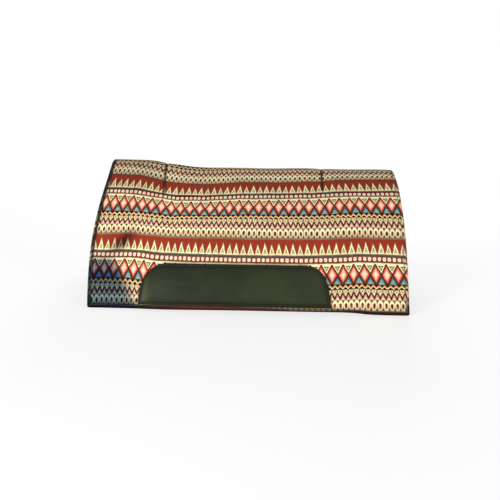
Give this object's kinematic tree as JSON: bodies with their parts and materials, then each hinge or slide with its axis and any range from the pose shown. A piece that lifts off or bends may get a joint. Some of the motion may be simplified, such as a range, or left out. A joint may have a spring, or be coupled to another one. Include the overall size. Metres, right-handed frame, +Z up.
{
  "type": "western saddle pad",
  "caption": "Contoured western saddle pad: woven cover over a felt core and lining, darted across the spine, with wear leathers low on the sides.",
  "frame": {"origin": "middle of the pad's footprint, level with the two lower edges that it stands on", "axes": "+Z up; X along the horse's back, withers towards -X and rump towards +X; -Y is the horse's near (left) side, +Y its off side"},
  "size_m": [0.806, 0.542, 0.3445],
  "materials": {
    "woven_cover": "flat woven tapestry cloth in parallel geometric bands of brick red, cream, peach, teal and black",
    "core_felt": "dense needled grey felt",
    "lining_felt": "soft needled felt, slightly fuzzy, warm grey brown",
    "wear_leather": "smooth dark olive leather with a fine grain and a low sheen",
    "leather_thread": "waxed dark thread",
    "seam_thread": "dark brown sewing thread"
  },
  "bodies": {
    "root": {"top_cover": "woven_cover", "felt_core": "core_felt", "felt_lining": "lining_felt", "near_wear_leather": "wear_leather", "off_wear_leather": "wear_leather", "near_leather_stitching": "leather_thread", "off_leather_stitching": "leather_thread", "front_dart_seam": "seam_thread", "rear_dart_seam": "seam_thread", "front_edge_stitching": "seam_thread", "rear_edge_stitching": "seam_thread", "near_hem_stitching": "seam_thread", "off_hem_stitching": "seam_thread"}
  },
  "joints": []
}
